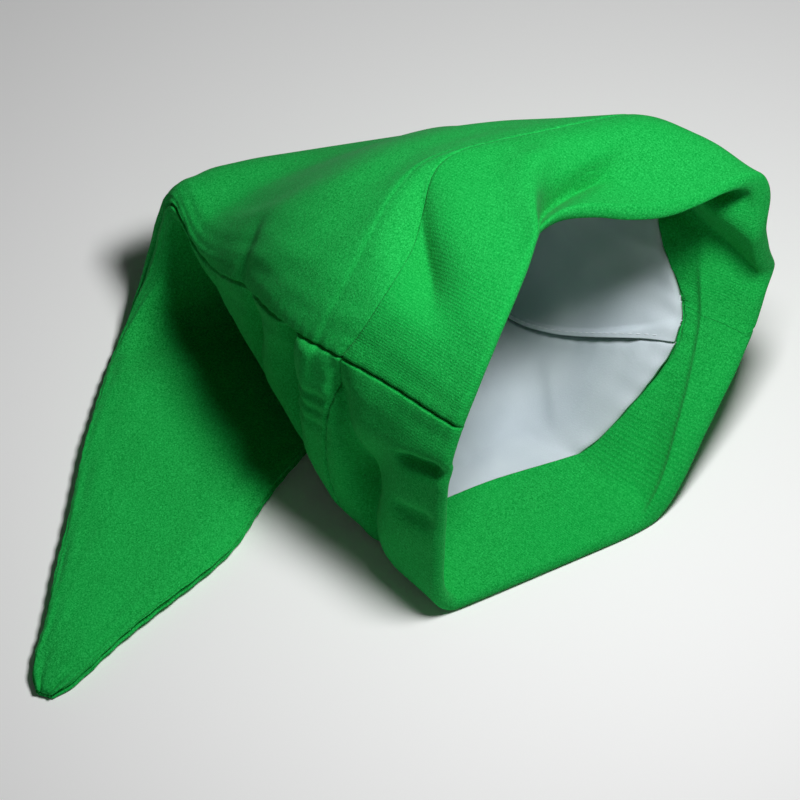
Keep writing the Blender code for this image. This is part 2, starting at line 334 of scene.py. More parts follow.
def normals_of(along, around):
    """Outward normals of the smooth hat, from small steps along it and around it."""
    ahead = outline_points(along + STEP_ALONG, around) - outline_points(along - STEP_ALONG, around)
    beside = outline_points(along, around + STEP_AROUND) - outline_points(along, around - STEP_AROUND)
    return unit(np.cross(beside, ahead))


def run_around(along, turn):
    """How many metres of cloth one whole turn is worth at a seam, from a small step over it."""
    after = outline_points(along, np.full_like(along, turn + STEP_AROUND))
    before = outline_points(along, np.full_like(along, turn - STEP_AROUND))
    return np.linalg.norm(after - before, axis=-1) / (2 * STEP_AROUND)


rim_turn = np.linspace(0, 1, 201)
rim_loop = outline_points(0 * rim_turn, rim_turn)
print("the smooth rim is", np.linalg.norm(np.diff(rim_loop, axis=0), axis=1).sum().round(3), "m around")

# %% [markdown]
# ## Folds, dents and creases
#
# The big folds are in the solids too: broad grooves that all layers of the cloth share. The scene
# adds the smaller ones. Each is a groove on a line that is drawn on the cloth at a slant, with its
# own width on either side: a wide side and a narrow side make the overhanging look of a tuck. A
# sharpness of 2 is a bell curve, and near 1 it is a pinched crease. A negative depth is a ridge.

# %% Fold tables
#  name  around  along in crown lengths  half width around  half length along  slant  depth in hat heights
BIG_FOLDS = [
    ("flap_droop", 0.260, 0.02, 0.060, 0.190, 0.10, 0.105),
    ("pleat", 0.200, 0.07, 0.022, 0.080, 0.30, 0.033),
    ("roof_dent", 0.100, 0.20, 0.028, 0.100, 0.20, 0.047),
    ("near_gather", 0.930, 0.52, 0.045, 0.045, 0.00, 0.040),
    ("back_gather", 0.950, 0.64, 0.030, 0.030, 0.00, 0.027),
    ("band_valley", 0.885, 0.21, 0.045, 0.070, -0.60, 0.053),
    ("far_lobe", 0.385, 0.08, 0.030, 0.150, 0.20, 0.030),
    ("far_bulge", 0.490, 0.00, 0.070, 0.170, 0.00, -0.135),
]

# Lengths in millimetres. The line starts at (around, along) and ends at (around, along), and the
# widths are on its left and right side as it is walked from start to end on the outer face.
#  name  start  end  width left  width right  sharpness  depth
CREASES = [
    ("pleat_crease", (0.173, 5), (0.238, 29), 2.2, 8.0, 1.5, 9.5),
    ("pleat_roll", (0.153, -2), (0.211, 36), 8.0, 5.0, 2.0, -4.5),
    ("dent_crease", (0.136, 56), (0.095, 40), 6.0, 6.0, 1.5, 3.4),
    ("behind_band", (0.010, 82), (0.165, 80), 2.2, 7.0, 1.4, 0.6),
    ("back_dimple", (0.083, 166), (0.013, 157), 4.0, 6.0, 1.6, 1.8),
    ("deep_pocket", (0.985, 103), (0.890, 100), 2.6, 10.0, 2.4, 16.5),
    ("back_pocket", (0.982, 149), (0.900, 146), 3.5, 6.0, 1.6, 4.5),
    ("strip_ridge", (0.985, 88), (0.890, 86), 8.0, 6.0, 2.0, -2.0),
    ("strip_wave_high", (0.948, 76), (0.941, 93), 2.4, 3.6, 1.7, 1.5),
    ("strip_wave_mid", (0.931, 76), (0.926, 93), 2.4, 3.6, 1.7, 1.7),
    ("strip_wave_low", (0.915, 76), (0.908, 92), 2.4, 3.6, 1.7, 1.3),
    ("band_groove", (0.962, 63), (0.885, 53), 9.0, 4.0, 1.8, 7.2),
    ("band_groove_low", (0.872, 52), (0.790, 43), 10.0, 4.6, 1.8, 5.6),
    ("rim_dimple_high", (0.956, 8), (0.950, 19), 5.0, 3.0, 1.7, 5.4),
    ("rim_dimple_low", (0.903, 10), (0.897, 20), 6.0, 3.5, 1.8, 2.6),
    ("far_ridge", (0.404, 62), (0.446, 2), 10.0, 5.0, 1.5, -8.0),
    ("far_dent", (0.383, 50), (0.416, -4), 9.0, 15.0, 2.0, 7.5),
]
GIRTH = 0.60
FADE_SHARE = 0.25
FADE_LENGTH = 4 * MM

# Creases that start this far around stop short of the near seam
STOPPED_FROM = 0.8
SEAM_STOP = 2.6 * MM

# Places where the cloth is pushed sideways, so that it rolls over what lies beside it
#  name  around  along  half widths around before and after  half length (mm)  slant  shift (mm)
SLIDES = [
    ("near_roll", 0.148, -4, 0.055, 0.017, 32, 0.44, (6.0, -6.5, 1.5)),
]


def big_fold_depth(along, around):
    """How far the broad folds sink the cloth: a bell curve both ways from each fold's middle."""
    depth = np.zeros(np.broadcast(along, around).shape)
    for _, centre, place, width, length, slant, sink in BIG_FOLDS:
        ahead = (along / CROWN_LENGTH - place) / length
        beside = np.mod(around - centre - slant * (along / CROWN_LENGTH - place) + 0.5, 1.0) - 0.5
        depth += sink * HAT_HEIGHT * np.exp(-(beside / width) ** 2 - ahead**2)
    return depth


def crease_depth(along, around, creases):
    """How far the creases sink the cloth. On the flat cloth each is a straight line with a groove
    across it, exp(-(distance / width) ** sharpness), that fades in a bell curve past its ends."""
    depth = np.zeros(np.broadcast(along, around).shape)
    for _, start, end, left, right_side, sharpness, sink in creases:
        first = np.array([start[0] * GIRTH, start[1] * MM])
        last = np.array([end[0] * GIRTH, end[1] * MM])
        run = np.linalg.norm(last - first)
        course = (last - first) / run
        place = (np.mod(around - start[0] + 0.5, 1.0) - 0.5) * GIRTH
        forward = place * course[0] + (along - first[1]) * course[1]
        sideways = place * course[1] - (along - first[1]) * course[0]
        width = np.where(sideways < 0, left, right_side) * MM
        fade = np.clip(np.abs(forward - run / 2) - run / 2, 0, None) / (FADE_SHARE * run + FADE_LENGTH)
        stop = 1.0
        if start[0] > STOPPED_FROM:
            below_seam = np.clip(1 - np.mod(around, 1.0), 0, 0.5) * GIRTH / SEAM_STOP
            stop = (1 - np.exp(-below_seam**2)) * (np.mod(around, 1.0) > 0.5)
        depth += sink * MM * np.exp(-np.abs(sideways / width) ** sharpness - fade**2) * stop
    return depth


def cloth_slide(along, around):
    """How far the cloth is pushed sideways: a bell curve along the hat, and one around it that is
    steeper past its middle than before."""
    shift = np.zeros(np.broadcast(along, around).shape + (3,))
    for _, centre, place, before, after, length, slant, push in SLIDES:
        beside = np.mod(around - centre - slant * along / CROWN_LENGTH + 0.5, 1.0) - 0.5
        bell = np.exp(-(beside / np.where(beside < 0, before, after)) ** 2
                      - ((along - place * MM) / (length * MM)) ** 2)
        shift += bell[..., None] * np.array(push) * MM
    return shift


print(len(BIG_FOLDS), "broad folds,", len(CREASES), "creases and", len(SLIDES), "rolled place")

# %% [markdown]
# ## Softness, seams and puckers
#
# A sum of slow waves at odd angles gives the cloth a gentle unevenness. A sewn seam is a narrow
# groove where both edges dive in, with the cloth puffed up a little beside it, and the thread's
# pull makes small puckers that die out a centimetre away.

# %% Soft waves and seam grooves
SEAM_GROOVE = 1.5 * MM
SEAM_WIDTH = 0.9 * MM
SEAM_PUFF = 0.22 * MM
PUFF_PLACE = 4.0 * MM
PUFF_WIDTH = 3.0 * MM
PUCKER = 0.28 * MM
PUCKER_PITCH = 9.0 * MM
PUCKER_REACH = 6.0 * MM
PUCKER_DRIFT = 17.0 * MM
PUCKER_WANDER = 1.7
OUTER_WAVES = 0.35 * MM
WAVES = 9
WAVE_SEED = 12
SHORTEST_WAVE = 24
LONGEST_WAVE = 70
chance = np.random.default_rng(WAVE_SEED)
wave_angle = chance.uniform(0, math.pi, WAVES)
wave_length = chance.uniform(SHORTEST_WAVE, LONGEST_WAVE, WAVES) * MM
wave_start = chance.uniform(0, 2 * math.pi, WAVES)
print("waves of the cloth", wave_length.min().round(3), "to", wave_length.max().round(3), "m long")


def soft_waves(along, around, height):
    """A sum of sine waves at fixed random angles and lengths over the flat cloth."""
    across = np.sin(np.mod(around, 1.0) * 2 * math.pi) * GIRTH / 4
    total = np.zeros(np.broadcast(along, around).shape)
    for angle, length, start in zip(wave_angle, wave_length, wave_start):
        run = across * math.cos(angle) + along * math.sin(angle)
        total += np.sin(run * 2 * math.pi / length + start)
    return total * height / math.sqrt(WAVES)


def seam_relief(distance, place, groove=SEAM_GROOVE):
    """Height over a seam: minus a narrow bell for the groove, plus a low bell beside it, and a
    wave along the seam that fades with the distance from it."""
    away = np.abs(distance)
    dip = -groove * np.exp(-((away / SEAM_WIDTH) ** 2))
    puff = SEAM_PUFF * np.exp(-(((away - PUFF_PLACE) / PUFF_WIDTH) ** 2))
    wave = np.sin(place * 2 * math.pi / PUCKER_PITCH + PUCKER_WANDER * np.sin(place / PUCKER_DRIFT))
    return dip + puff + PUCKER * wave * np.exp(-away / PUCKER_REACH)


# The band's seam doesn't run quite parallel to the rim: how far behind its mean place it lies, in
# millimetres, and how deep its groove is, at places around the hat
#  around  behind  groove
BAND_SEAM = [
    (0.00, 3, 0.80),
    (0.05, -5, 0.15),
    (0.13, -8, 0.15),
    (0.18, 3, 0.45),
    (0.22, 12, 0.50),
    (0.28, 18, 0.35),
    (0.40, 8, 0.35),
    (0.50, 0, 0.60),
    (0.75, 4, 0.80),
    (0.90, 9, 1.00),
    (0.97, 4, 1.00),
    (1.00, 3, 0.80),
]
BAND_SEAM_REACH = 34 * MM


def band_seam(around):
    """The band seam's distance behind its mean place and its groove's strength, on smooth curves."""
    row = smooth_rows(np.array(BAND_SEAM), np.mod(around, 1.0))
    return row[..., 0] * MM, row[..., 1]


def behind_seam(place, around):
    """Shifts rows near the band's seam so that the seam follows its wandering line, in a bell
    curve that leaves the rim and the crown's end alone."""
    reach = np.exp(-((place - BAND_WIDTH) / BAND_SEAM_REACH) ** 2)
    rim = np.clip(place / BAND_WIDTH, 0, 1)
    return place + band_seam(around)[0] * reach * rim


def side_seam_distance(along, around):
    """Metres of cloth from the nearer side seam, signed."""
    near = (np.mod(around + 0.5, 1.0) - 0.5) * run_around(along, 0.0)
    far = (np.mod(around, 1.0) - 0.5) * run_around(along, 0.5)
    return np.where(np.abs(near) < np.abs(far), near, far)


def outer_relief(along, around, place):
    """Height of the outer face over the smooth hat, less what all layers share. Place is the
    distance along before the rows were shifted to the band's seam."""
    height = soft_waves(along, around, OUTER_WAVES)
    height += seam_relief(side_seam_distance(along, around), along)
    height += seam_relief(place - BAND_WIDTH, around * GIRTH) * band_seam(around)[1]
    return height


# %% [markdown]
# ## One sheet of cloth
#
# Every piece is a grid of points for its face and one for its back, joined along its four edges, so
# it is a closed wall as thick as the cloth. The columns crowd together at the side seams, where the
# groove is only a millimetre wide. The piece's own UV map holds the place on the flat cloth in
# metres, so ribs and twill lines follow the cloth and not the room.

# %% Cloth builder
EDGE_CROWDING = 0.72
SEAM_GAP = 0.16 * MM
SHIFT = np.array([ORIGIN_SHARE[0] * MOUTH_WIDTH, ORIGIN_SHARE[1] * CROWN_LENGTH, 0.0])


def crowded(steps, crowding=EDGE_CROWDING):
    """Shares from 0 to 1 that lie closer together at both ends, by taking away a sine."""
    share = np.linspace(0, 1, steps + 1)
    return share - crowding * np.sin(2 * math.pi * share) / (2 * math.pi)


def half_grid(along, first_turn, columns):
    """Distances along and places around for one half of the hat, from seam to seam."""
    start = first_turn + SEAM_GAP / 2 / run_around(along, first_turn)
    end = first_turn + 0.5 - SEAM_GAP / 2 / run_around(along, first_turn + 0.5)
    around = start[:, None] + (end - start)[:, None] * crowded(columns)[None, :]
    return np.broadcast_to(along[:, None], around.shape), around


def cloth_points(along, around, relief, inset=0.0, flatten=0.0):
    """Points of the cloth: the smooth hat, set in by the inset, moved along its normal by the
    relief less the broad folds, and pressed flat on the floor."""
    points = outline_points(along, around, inset, flatten)
    lift = relief - big_fold_depth(along, around)
    points = points + normals_of(along, around) * lift[..., None] + cloth_slide(along, around)
    points[..., 2] = np.maximum(points[..., 2], inset)
    return points - SHIFT


def cloth_piece(name, face, back, flat, material):
    """A closed wall of cloth from a grid of points for each side. Faces are the quads between four
    neighbours of the grid, turned round for the back, with a strip along each edge."""
    rows, columns = face.shape[:2]
    front = np.arange(rows * columns).reshape(rows, columns)
    rear = front + rows * columns

    def strips(low, high):
        return np.stack([low[:-1], low[1:], high[1:], high[:-1]], axis=-1).reshape(-1, 4)

    def sheet_of(grid):
        corners = [grid[:-1, :-1], grid[:-1, 1:], grid[1:, 1:], grid[1:, :-1]]
        return np.stack(corners, axis=-1).reshape(-1, 4)

    quads = np.concatenate([
        sheet_of(front), sheet_of(rear)[:, ::-1],
        strips(rear[0], front[0]), strips(front[-1], rear[-1]),
        strips(front[:, 0], rear[:, 0]), strips(rear[:, -1], front[:, -1]),
    ])
    points = np.concatenate([face.reshape(-1, 3), back.reshape(-1, 3)])
    mesh = bpy.data.meshes.new(name)
    mesh.vertices.add(len(points))
    mesh.vertices.foreach_set("co", points.ravel())
    mesh.loops.add(quads.size)
    mesh.loops.foreach_set("vertex_index", quads.ravel())
    mesh.polygons.add(len(quads))
    mesh.polygons.foreach_set("loop_start", np.arange(len(quads)) * 4)
    mesh.update()
    mesh.validate()
    mesh.shade_smooth()
    places = np.concatenate([flat.reshape(-1, 2)] * 2)
    uv = mesh.uv_layers.new(name="flat_cloth")
    uv.data.foreach_set("uv", places[quads.ravel()].ravel())
    mesh.materials.append(material)
    piece = bpy.data.objects.new(name, mesh)
    bpy.context.scene.collection.objects.link(piece)
    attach(piece, BODY)
    print(name, len(quads) * 2, "triangles")
    return piece


# %% [markdown]
# ## Finishes
#
# The fleece is short brushed pile: a felted nap of fine curly fibres. Its colour is painted paler
# where the fibre tips stand up, as a highlight where they catch the light, and darker in the gaps
# between them, as painted shade. Noise at the size of the nap gives both its bump and its speckle,
# and a slower noise makes the pile lie differently from place to place. The group is built once and
# used by every green material with its own values.

# %% Node helpers
def add_group(name, inputs, outputs):
    """An empty shader node group with named sockets, and its input and output nodes."""
    group = bpy.data.node_groups.new(name, "ShaderNodeTree")
    for label, kind, value in inputs:
        socket = group.interface.new_socket(name=label, in_out="INPUT", socket_type=kind)
        if value is not None:
            socket.default_value = value
    for label, kind in outputs:
        group.interface.new_socket(name=label, in_out="OUTPUT", socket_type=kind)
    return group, group.nodes.new("NodeGroupInput"), group.nodes.new("NodeGroupOutput")


def feed(tree, node, links):
    """Links each of a node's inputs, by name or number, to a socket, or sets it to a value."""
    for key, source in links.items():
        if isinstance(source, bpy.types.NodeSocket):
            tree.links.new(source, node.inputs[key])
        else:
            node.inputs[key].default_value = source


def put(tree, kind, links=None, **settings):
    """One node in a tree: settings are its own properties, links its inputs, by name or number."""
    node = tree.nodes.new(kind)
    for key, value in settings.items():
        setattr(node, key, value)
    feed(tree, node, links or {})
    return node


def maths(tree, operation, first, second=0.0, third=0.0, clamp=False):
    """The result of one Math node."""
    return put(tree, "ShaderNodeMath", {0: first, 1: second, 2: third}, operation=operation,
               use_clamp=clamp).outputs[0]


def spread(tree, value, low, high, to_low=0.0, to_high=1.0):
    """A value between low and high, moved onto another range and kept inside it."""
    return put(tree, "ShaderNodeMapRange", {0: value, 1: low, 2: high, 3: to_low, 4: to_high}).outputs[0]


def blended(tree, share, first, second):
    """A colour between two others."""
    return put(tree, "ShaderNodeMix", {0: share, 6: first, 7: second}, data_type="RGBA").outputs[2]


def bumped(tree, height):
    """The normal of a surface with this height, in metres."""
    node = put(tree, "ShaderNodeBump", {"Height": height, "Strength": 1.0, "Distance": 1.0})
    return node.outputs["Normal"]


# %% [markdown]
# ## Three effects of cloth
#
# A nap, ribs and twill lines are shader node groups, because more than one finish may wear them. Each
# puts out masks and a height and no colour, so the same group serves any cloth.

# %% Brushed nap, ribs and twill as node groups
NAP_SIZE = 0.7 * MM
CURL_SIZE = 2.2 * MM
RIB_PITCH = 1.45 * MM
COURSE_PITCH = 1.25 * MM
TWILL_PITCH = 0.9 * MM
TWILL_SLANT = 1.6
FULL_TURN = 2 * math.pi

# How strongly the parts of each height count
FINE_NAP = 0.65
CURLS = 0.35
RIB_SWING = 0.36
RIB_MIDDLE = 0.5
COURSE_SWING = 0.14
RIB_WANDER = 3.0
LINE_SWING = 0.3


def build_brushed_nap():
    """Fine noise for the nap and slower noise for its curls. Speckle is the nap where it stands up,
    height is both together, and drift is a very slow noise for the way that the pile lies."""
    group, start, end = add_group(
        "brushed_nap",
        [("Vector", "NodeSocketVector", None), ("Nap Size", "NodeSocketFloat", NAP_SIZE),
         ("Curl Size", "NodeSocketFloat", CURL_SIZE)],
        [("Speckle", "NodeSocketFloat"), ("Height", "NodeSocketFloat"), ("Drift", "NodeSocketFloat")],
    )
    vector, nap, curl = start.outputs["Vector"], start.outputs["Nap Size"], start.outputs["Curl Size"]
    fine = put(group, "ShaderNodeTexNoise", {
        "Vector": vector, "Scale": maths(group, "DIVIDE", 1.0, nap), "Detail": 3.0, "Roughness": 0.62,
        "Distortion": 0.8}).outputs["Fac"]
    slow = put(group, "ShaderNodeTexNoise", {
        "Vector": vector, "Scale": maths(group, "DIVIDE", 1.0, curl), "Detail": 2.0,
        "Roughness": 0.5}).outputs["Fac"]
    drift = put(group, "ShaderNodeTexNoise", {
        "Vector": vector, "Scale": 24.0, "Detail": 2.0, "Roughness": 0.5}).outputs["Fac"]
    height = maths(group, "MULTIPLY_ADD", fine, FINE_NAP, maths(group, "MULTIPLY", slow, CURLS))
    # The speckle is the same fine noise as the bump; the green cloths paint it as highlight on the tips and
    # as shade in the gaps, and use it for roughness
    group.links.new(spread(group, fine, 0.38, 0.68), end.inputs["Speckle"])
    group.links.new(height, end.inputs["Height"])
    group.links.new(spread(group, drift, 0.32, 0.68), end.inputs["Drift"])
    return group


def build_knit_ribs():
    """Cosine ribs across the cloth, with a weaker cosine for the courses along each rib, and a
    slow wander, so that no two ribs run quite true."""
    group, start, end = add_group(
        "knit_ribs",
        [("Flat", "NodeSocketVector", None), ("Pitch", "NodeSocketFloat", RIB_PITCH),
         ("Course", "NodeSocketFloat", COURSE_PITCH)],
        [("Rib", "NodeSocketFloat")],
    )
    parts = put(group, "ShaderNodeSeparateXYZ", {0: start.outputs["Flat"]})
    wander = put(group, "ShaderNodeTexNoise", {
        "Vector": start.outputs["Flat"], "Scale": 90.0, "Detail": 1.0}).outputs["Fac"]
    across = maths(group, "MULTIPLY", parts.outputs[0], FULL_TURN)
    across = maths(group, "DIVIDE", across, start.outputs["Pitch"])
    across = maths(group, "ADD", across, maths(group, "MULTIPLY", wander, RIB_WANDER))
    down = maths(group, "MULTIPLY", parts.outputs[1], FULL_TURN)
    down = maths(group, "DIVIDE", down, start.outputs["Course"])
    ribs = maths(group, "MULTIPLY_ADD", maths(group, "COSINE", across), RIB_SWING, RIB_MIDDLE)
    courses = maths(group, "MULTIPLY", maths(group, "COSINE", down), COURSE_SWING)
    group.links.new(maths(group, "ADD", ribs, courses), end.inputs["Rib"])
    return group


def build_twill_lines():
    """Slanted cosine lines on the flat cloth, with a fine noise for the yarn."""
    group, start, end = add_group(
        "twill_lines",
        [("Flat", "NodeSocketVector", None), ("Pitch", "NodeSocketFloat", TWILL_PITCH)],
        [("Line", "NodeSocketFloat"), ("Drift", "NodeSocketFloat")],
    )
    parts = put(group, "ShaderNodeSeparateXYZ", {0: start.outputs["Flat"]})
    slanted = maths(group, "MULTIPLY_ADD", parts.outputs[1], TWILL_SLANT, parts.outputs[0])
    phase = maths(group, "DIVIDE", maths(group, "MULTIPLY", slanted, FULL_TURN), start.outputs["Pitch"])
    yarn = put(group, "ShaderNodeTexNoise", {
        "Vector": start.outputs["Flat"], "Scale": 1500.0, "Detail": 2.0}).outputs["Fac"]
    drift = put(group, "ShaderNodeTexNoise", {
        "Vector": start.outputs["Flat"], "Scale": 30.0, "Detail": 2.0}).outputs["Fac"]
    line = maths(group, "MULTIPLY_ADD", maths(group, "COSINE", phase), LINE_SWING, yarn)
    group.links.new(line, end.inputs["Line"])
    group.links.new(spread(group, drift, 0.35, 0.65), end.inputs["Drift"])
    return group


BRUSHED_NAP = build_brushed_nap()
KNIT_RIBS = build_knit_ribs()
TWILL_LINES = build_twill_lines()
print("node groups:", [group.name for group in (BRUSHED_NAP, KNIT_RIBS, TWILL_LINES)])

# %% [markdown]
# ## The green cloths
#
# The cone and the tail are the plain brushed fleece. The band's outer and inner halves are the same
# green with fine ribs that run along the hat, under the same nap. The sheen on cloth comes from the
# fibre tips at the edges, so it sits on the shader's own sheen socket.

# %% Green materials
GREEN_DEEP = (0.001, 0.140, 0.014, 1)
GREEN_BODY = (0.002, 0.320, 0.043, 1)
# Painted highlight: the paler green of the fibre tips where they catch the light
GREEN_TIP_HIGHLIGHT = (0.034, 0.640, 0.130, 1)
BODY_SHARE = 0.7
TIP_HIGHLIGHT_SHARE = 0.75
NAP_BUMP = 0.50 * MM
RIB_BUMP = 0.24 * MM
WORN_RIBS = 0.30
PILE_ROUGHNESS = (0.95, 0.82)
PILE_SPECULAR = 0.06
PILE_SHEEN = 0.07
PILE_SHEEN_ROUGHNESS = 0.45
PILE_SHEEN_TINT = (0.40, 1.0, 0.60, 1)


def green_cloth(name, ribs):
    """Brushed green cloth. Ribs is how strongly the knit shows under the nap, from 0 to 1. The ribs
    are worn down to a share of that where the pile drifts, and the nap between them is painted darker
    as shade in the rib valleys."""
    material, tree, shader = new_material(name)
    place = put(tree, "ShaderNodeTexCoord").outputs["Object"]
    nap = put(tree, "ShaderNodeGroup", {"Vector": place, "Nap Size": NAP_SIZE, "Curl Size": CURL_SIZE},
              node_tree=BRUSHED_NAP)
    speckle, drift = nap.outputs["Speckle"], nap.outputs["Drift"]
    height = maths(tree, "MULTIPLY", nap.outputs["Height"], NAP_BUMP)
    # Painted highlight and shade: the tip green is mixed in where the nap's fine noise stands up, the same
    # noise that raises the bump
    painted_light_share = maths(tree, "MULTIPLY", speckle, TIP_HIGHLIGHT_SHARE)
    if ribs:
        flat = put(tree, "ShaderNodeUVMap", uv_map="flat_cloth").outputs["UV"]
        knit = put(tree, "ShaderNodeGroup", {"Flat": flat, "Pitch": RIB_PITCH, "Course": COURSE_PITCH},
                   node_tree=KNIT_RIBS)
        worn = spread(tree, drift, 0.0, 1.0, WORN_RIBS * ribs, ribs)
        raised = maths(tree, "MULTIPLY", knit.outputs["Rib"], worn)
        height = maths(tree, "MULTIPLY_ADD", raised, RIB_BUMP, height)
        # Painted shade: the colour darkens in the valleys between the ribs, where the rib height is low
        rib_valley_shade = maths(tree, "ADD", raised, maths(tree, "SUBTRACT", 1.0, worn))
        painted_light_share = maths(tree, "MULTIPLY", painted_light_share, rib_valley_shade)
    ground = blended(tree, BODY_SHARE, blended(tree, drift, GREEN_DEEP, GREEN_BODY), GREEN_BODY)
    feed(tree, shader, {
        "Base Color": blended(tree, painted_light_share, ground, GREEN_TIP_HIGHLIGHT),
        "Roughness": spread(tree, speckle, 0.0, 1.0, *PILE_ROUGHNESS),
        "Normal": bumped(tree, height),
        "Specular IOR Level": PILE_SPECULAR,
        "Sheen Weight": PILE_SHEEN,
        "Sheen Roughness": PILE_SHEEN_ROUGHNESS,
        "Sheen Tint": PILE_SHEEN_TINT,
    })
    return material


FLEECE = green_cloth("brushed_green_fleece", ribs=0.0)
RIBBED = green_cloth("ribbed_green_band", ribs=0.55)
print("green cloths:", FLEECE.name, "and", RIBBED.name)

# %% [markdown]
# ## The white cloth and its thread
#
# The lining is thin smooth twill. Its slanted lines are two pixels of the picture apart, and show as
# a fine grain. The thread is nearly the same white, painted a little darker between its strands as
# shade.

# %% White materials
LINING_DARK = (0.48, 0.55, 0.61, 1)
LINING_PALE = (0.56, 0.63, 0.68, 1)
YARN_PALE = (0.66, 0.72, 0.77, 1)
YARN_SHARE = 0.25
TWILL_BUMP = 0.07 * MM
TWILL_ROUGHNESS = (0.85, 0.70)
TWILL_SPECULAR = 0.3
# Painted shade: the thread's colour in the gaps between its strands
THREAD_GAP_SHADE = (0.62, 0.67, 0.72, 1)
THREAD_PALE = (0.76, 0.80, 0.84, 1)
THREAD_ROUGHNESS = 0.6
THREAD_BUMP = 0.08 * MM
WHITE_SHEEN = 0.1


def white_twill(name):
    """Thin white lining cloth with fine slanted lines."""
    material, tree, shader = new_material(name)
    flat = put(tree, "ShaderNodeUVMap", uv_map="flat_cloth").outputs["UV"]
    twill = put(tree, "ShaderNodeGroup", {"Flat": flat, "Pitch": TWILL_PITCH}, node_tree=TWILL_LINES)
    line = twill.outputs["Line"]
    base = blended(tree, twill.outputs["Drift"], LINING_DARK, LINING_PALE)
    feed(tree, shader, {
        "Base Color": blended(tree, maths(tree, "MULTIPLY", line, YARN_SHARE, clamp=True), base, YARN_PALE),
        "Roughness": spread(tree, line, 0.0, 1.0, *TWILL_ROUGHNESS),
        "Normal": bumped(tree, maths(tree, "MULTIPLY", line, TWILL_BUMP)),
        "Specular IOR Level": TWILL_SPECULAR,
        "Sheen Weight": WHITE_SHEEN,
    })
    return material


def white_thread(name):
    """White sewing thread, with painted shade that makes it a little darker between its fine
    twisted strands.
    """
    material, tree, shader = new_material(name)
    place = put(tree, "ShaderNodeTexCoord").outputs["Object"]
    strands = put(tree, "ShaderNodeTexNoise", {
        "Vector": place, "Scale": 3000.0, "Detail": 2.0}).outputs["Fac"]
    feed(tree, shader, {
        "Base Color": blended(tree, spread(tree, strands, 0.35, 0.65), THREAD_GAP_SHADE, THREAD_PALE),
        "Roughness": THREAD_ROUGHNESS,
        "Normal": bumped(tree, maths(tree, "MULTIPLY", strands, THREAD_BUMP)),
        "Sheen Weight": WHITE_SHEEN,
    })
    return material


LINING = white_twill("white_twill_lining")
THREAD = white_thread("white_thread")
print("white cloth and thread:", LINING.name, "and", THREAD.name)

# %% [markdown]
# ## The cone and its tail
#
# Two panels, sewn along the near and the far side seam, run from the band to the tip. At the crown's
# end the cone turns down over itself, and the tail lies flat under it.

# %% Cone panels
HALVES = (("top", 0.0), ("bottom", 0.5))
CONE_COLUMNS = 170
CROWN_ROWS = 150
TAIL_ROWS = 120


def row_places(start, end, rows, crowding=0.0):
    """Distances along from start to end, closer together at both ends where crowding is over 0."""
    return start + (end - start) * crowded(rows, crowding)


def cone_panel(side, first_turn):
    """One panel of the cone: the outer face at inset 0 and its back one cloth further in."""
    crown = row_places(BAND_WIDTH + SEAM_GAP / 2, CROWN_LENGTH, CROWN_ROWS, 0.5)[:-1]
    tail = row_places(CROWN_LENGTH, HAT_LENGTH, TAIL_ROWS)
    place, around = half_grid(np.concatenate([crown, tail]), first_turn, CONE_COLUMNS)
    along = behind_seam(place, around)
    relief = outer_relief(along, around, place) - crease_depth(along, around, CREASES)
    face = cloth_points(along, around, relief)
    inner = cloth_points(along, around, relief, CLOTH + 0 * along)
    flat = np.stack([around * GIRTH, along], axis=-1)
    piece = cloth_piece(f"cone_{side}_cloth", face, inner, flat, FLEECE)
    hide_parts(f"cone_{side}_panel")


for half_name, half_start in HALVES:
    cone_panel(half_name, half_start)

# %% [markdown]
# ## The headband
#
# Each half is one strip: the outer half runs from the cone's seam to the rim, rolls over in a soft
# hem, and comes back inside as the facing. The roll is a half circle carried round the rim.

# %% Headband halves
BAND_COLUMNS = 250
BAND_ROWS = 52
ROLL_ROWS = 14
FACING_ROWS = 46
FACING_WAVES = 0.3 * MM
FACING_WAVE_START = 0.3
FACING_GROOVE = 1.2 * MM

# Creases of the facing alone, with the columns of the table above. A depth over 0 presses the cloth
# away from the hollow, and one below 0 is a ridge that stands out in the mouth.
FACING_CREASES = [
    ("facing_tuck", (0.482, 25), (0.590, 5), 2.6, 6.5, 1.5, -4.0),
    ("facing_dip", (0.500, 36), (0.600, 18), 7.0, 7.0, 2.0, 2.0),
    ("facing_swell", (0.655, 48), (0.640, 12), 7.0, 7.0, 2.0, -1.5),
    ("far_tuck", (0.412, 52), (0.446, 4), 4.0, 8.0, 1.5, -2.2),
]


def facing_depth(around):
    """How deep the facing reaches at each place around the rim, on a smooth curve."""
    return smooth_rows(np.array(FACING_EDGE), np.mod(around, 1.0))[..., 0] * FACING_DEPTH


